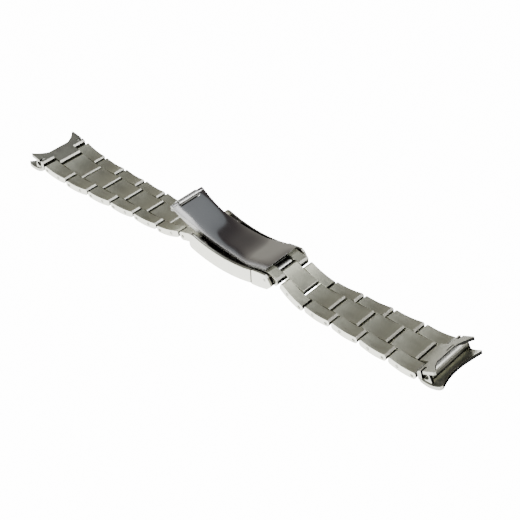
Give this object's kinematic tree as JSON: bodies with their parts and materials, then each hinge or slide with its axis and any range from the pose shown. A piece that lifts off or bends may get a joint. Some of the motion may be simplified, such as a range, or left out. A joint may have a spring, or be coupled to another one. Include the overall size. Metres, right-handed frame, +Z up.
{
  "type": "link watch bracelet",
  "caption": "Steel link watch bracelet with three links across each row, tapering from hollow curved end links to a folding clasp, laid out open with the wrist side up.",
  "frame": {"origin": "under the middle of the whole length, on the surface it lies on", "axes": "+X along the bracelet towards the half with five rows, +Y across it, +Z up, with the wrist side up"},
  "size_m": [0.1796, 0.02, 0.0142],
  "materials": {
    "brushed_links": "brushed wrist and show faces, polished sides",
    "cover_steel": "satin outside with polished sides",
    "polished_steel": "mirror polished",
    "pin_steel": "turned",
    "tube_steel": "drawn"
  },
  "bodies": {
    "clasp_cover": {"cover_shell": "cover_steel", "hinge_end_cap": "cover_steel", "catch_lugs": "cover_steel", "blade_hinge_pin": "pin_steel", "spring_bar": "pin_steel"},
    "clasp_link": {"clasp_end_link": "brushed_links", "clasp_end_link_pin": "pin_steel"},
    "left_row_1": {"left_row_1_near_link": "brushed_links", "left_row_1_far_link": "brushed_links", "left_row_1_centre_link": "brushed_links", "left_row_1_pins": "pin_steel"},
    "left_row_2": {"left_row_2_near_link": "brushed_links", "left_row_2_far_link": "brushed_links", "left_row_2_centre_link": "brushed_links", "left_row_2_pins": "pin_steel"},
    "left_row_3": {"left_row_3_near_link": "brushed_links", "left_row_3_far_link": "brushed_links", "left_row_3_centre_link": "brushed_links", "left_row_3_pins": "pin_steel"},
    "left_row_4": {"left_row_4_near_link": "brushed_links", "left_row_4_far_link": "brushed_links", "left_row_4_centre_link": "brushed_links", "left_row_4_pins": "pin_steel"},
    "left_row_5": {"left_row_5_near_link": "brushed_links", "left_row_5_far_link": "brushed_links", "left_row_5_centre_link": "brushed_links", "left_row_5_pins": "pin_steel"},
    "left_row_6": {"left_row_6_near_link": "brushed_links", "left_row_6_far_link": "brushed_links", "left_row_6_centre_link": "brushed_links", "left_row_6_pins": "pin_steel"},
    "left_end_link": {"left_end_link_shell": "brushed_links", "left_end_link_tube": "tube_steel"},
    "right_row_1": {"right_row_1_near_link": "brushed_links", "right_row_1_far_link": "brushed_links", "right_row_1_centre_link": "brushed_links", "right_row_1_pins": "pin_steel"},
    "right_row_2": {"right_row_2_near_link": "brushed_links", "right_row_2_far_link": "brushed_links", "right_row_2_centre_link": "brushed_links", "right_row_2_pins": "pin_steel"},
    "right_row_3": {"right_row_3_near_link": "brushed_links", "right_row_3_far_link": "brushed_links", "right_row_3_centre_link": "brushed_links", "right_row_3_pins": "pin_steel"},
    "right_row_4": {"right_row_4_near_link": "brushed_links", "right_row_4_far_link": "brushed_links", "right_row_4_centre_link": "brushed_links", "right_row_4_pins": "pin_steel"},
    "right_row_5": {"right_row_5_near_link": "brushed_links", "right_row_5_far_link": "brushed_links", "right_row_5_centre_link": "brushed_links", "right_row_5_pins": "pin_steel"},
    "right_end_link": {"right_end_link_shell": "brushed_links", "right_end_link_tube": "tube_steel"},
    "middle_blade_body": {"middle_blade": "polished_steel"},
    "inner_blade_body": {"inner_blade": "polished_steel", "fold_hinge_pin": "pin_steel", "blade_end_block": "polished_steel", "blade_end_pin": "pin_steel"}
  },
  "joints": [
    {"name": "clasp_link_hinge", "type": "hinge", "parent": "clasp_cover", "child": "clasp_link", "pos_m": [-0.00827, 0, 0.0056], "axis": [0, 1, 0], "range_deg": [-3, 25]},
    {"name": "left_row_1_hinge", "type": "hinge", "parent": "clasp_link", "child": "left_row_1", "pos_m": [-0.01437, 0, 0.0039], "axis": [0, 1, 0], "range_deg": [-14.9, 22.1]},
    {"name": "left_row_2_hinge", "type": "hinge", "parent": "left_row_1", "child": "left_row_2", "pos_m": [-0.025, 0, 0.0015], "axis": [0, 1, 0], "range_deg": [-24.7, 12.3]},
    {"name": "left_row_3_hinge", "type": "hinge", "parent": "left_row_2", "child": "left_row_3", "pos_m": [-0.0359, 0, 0.0015], "axis": [0, 1, 0], "range_deg": [-12, 25]},
    {"name": "left_row_4_hinge", "type": "hinge", "parent": "left_row_3", "child": "left_row_4", "pos_m": [-0.0468, 0, 0.0015], "axis": [0, 1, 0], "range_deg": [-12, 25]},
    {"name": "left_row_5_hinge", "type": "hinge", "parent": "left_row_4", "child": "left_row_5", "pos_m": [-0.0577, 0, 0.0015], "axis": [0, 1, 0], "range_deg": [-12, 25]},
    {"name": "left_row_6_hinge", "type": "hinge", "parent": "left_row_5", "child": "left_row_6", "pos_m": [-0.0686, 0, 0.0015], "axis": [0, 1, 0], "range_deg": [-21.5, 15.5]},
    {"name": "left_end_link_hinge", "type": "hinge", "parent": "left_row_6", "child": "left_end_link", "pos_m": [-0.07935, 0, 0.0033], "axis": [0, 1, 0], "range_deg": [-3.5, 33.5]},
    {"name": "middle_blade_hinge", "type": "hinge", "parent": "clasp_cover", "child": "middle_blade_body", "pos_m": [0.02293, 0, 0.0061], "axis": [0, 1, 0], "range_deg": [0, 150]},
    {"name": "inner_blade_hinge", "type": "hinge", "parent": "middle_blade_body", "child": "inner_blade_body", "pos_m": [-0.01857, 0, 0.0129], "axis": [0, 1, 0], "range_deg": [-150, 0]},
    {"name": "right_row_1_hinge", "type": "hinge", "parent": "inner_blade_body", "child": "right_row_1", "pos_m": [0.02563, 0, 0.00575], "axis": [0, 1, 0], "range_deg": [-35.9, 1.1]},
    {"name": "right_row_2_hinge", "type": "hinge", "parent": "right_row_1", "child": "right_row_2", "pos_m": [0.03567, 0, 0.0015], "axis": [0, 1, 0], "range_deg": [-2.1, 34.9]},
    {"name": "right_row_3_hinge", "type": "hinge", "parent": "right_row_2", "child": "right_row_3", "pos_m": [0.04657, 0, 0.0015], "axis": [0, 1, 0], "range_deg": [-25, 12]},
    {"name": "right_row_4_hinge", "type": "hinge", "parent": "right_row_3", "child": "right_row_4", "pos_m": [0.05747, 0, 0.0015], "axis": [0, 1, 0], "range_deg": [-25, 12]},
    {"name": "right_row_5_hinge", "type": "hinge", "parent": "right_row_4", "child": "right_row_5", "pos_m": [0.06837, 0, 0.0015], "axis": [0, 1, 0], "range_deg": [-25, 12]},
    {"name": "right_end_link_hinge", "type": "hinge", "parent": "right_row_5", "child": "right_end_link", "pos_m": [0.07927, 0, 0.0015], "axis": [0, 1, 0], "range_deg": [-10, 27]}
  ],
  "couplings": [
    {"joint": "inner_blade_hinge", "follows": "middle_blade_hinge", "ratio": -1}
  ]
}
